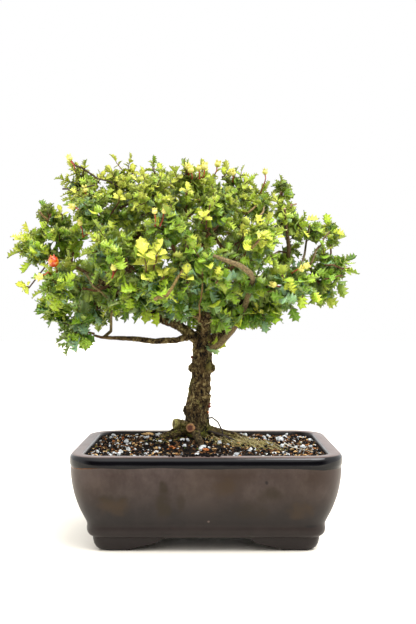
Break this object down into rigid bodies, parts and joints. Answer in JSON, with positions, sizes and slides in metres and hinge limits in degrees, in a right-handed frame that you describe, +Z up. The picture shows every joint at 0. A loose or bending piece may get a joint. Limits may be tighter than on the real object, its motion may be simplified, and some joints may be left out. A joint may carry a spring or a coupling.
{
  "type": "dwarf holly bonsai",
  "caption": "Miniature tree with a knotty trunk, spreading limbs, spined leaves in sprays, buds and a berry, growing in a rounded rectangular glazed pot on corner feet.",
  "frame": {"origin": "middle of the whole object's outline from above, on the surface that the pot's feet stand on", "axes": "+Z up, -Y towards the viewer of the pot's front, +X to the viewer's right"},
  "size_m": [0.3502, 0.2307, 0.3776],
  "materials": {
    "glaze": "semi-gloss mottled brown glaze, darker along the lip",
    "screen_plastic": "moulded, matt",
    "soil_mix": "dark granular mix with white and tan grains",
    "bark": "rough dark bark, mossy in places",
    "leaf_dark": "leathery leaf, glossy dark green",
    "leaf_mid": "leathery leaf, glossy mid green",
    "leaf_young": "leathery leaf, satin yellow-green",
    "petal_yellow": "soft matt petal on a red stalk",
    "fruit_red": "smooth glossy orange-red skin"
  },
  "bodies": {
    "root": {"berry": "fruit_red", "drain_screen_left": "screen_plastic", "drain_screen_right": "screen_plastic", "flower_bud_1": "petal_yellow", "flower_bud_2": "petal_yellow", "flower_bud_3": "petal_yellow", "flower_bud_4": "petal_yellow", "flower_bud_5": "petal_yellow", "flower_bud_6": "petal_yellow", "flower_bud_7": "petal_yellow", "flower_bud_8": "petal_yellow", "pot": "glaze", "soil": "soil_mix", "spray_01": "leaf_mid", "spray_02": "leaf_young", "spray_03": "leaf_dark", "spray_04": "leaf_mid", "spray_05": "leaf_young", "spray_06": "leaf_dark", "spray_07": "leaf_mid", "spray_08": "leaf_young", "spray_09": "leaf_dark", "spray_10": "leaf_mid", "spray_11": "leaf_young", "spray_12": "leaf_dark", "spray_13": "leaf_mid", "spray_14": "leaf_young", "spray_15": "leaf_dark", "spray_16": "leaf_mid", "spray_17": "leaf_young", "spray_18": "leaf_dark", "spray_19": "leaf_mid", "spray_20": "leaf_young", "spray_21": "leaf_dark", "spray_22": "leaf_mid", "spray_23": "leaf_young", "spray_24": "leaf_dark", "spray_25": "leaf_mid", "spray_26": "leaf_young", "spray_27": "leaf_dark", "spray_28": "leaf_mid", "spray_29": "leaf_young", "spray_30": "leaf_dark", "spray_31": "leaf_mid", "spray_32": "leaf_young", "spray_33": "leaf_dark", "spray_34": "leaf_mid", "spray_35": "leaf_young", "wood": "bark"}
  },
  "joints": []
}
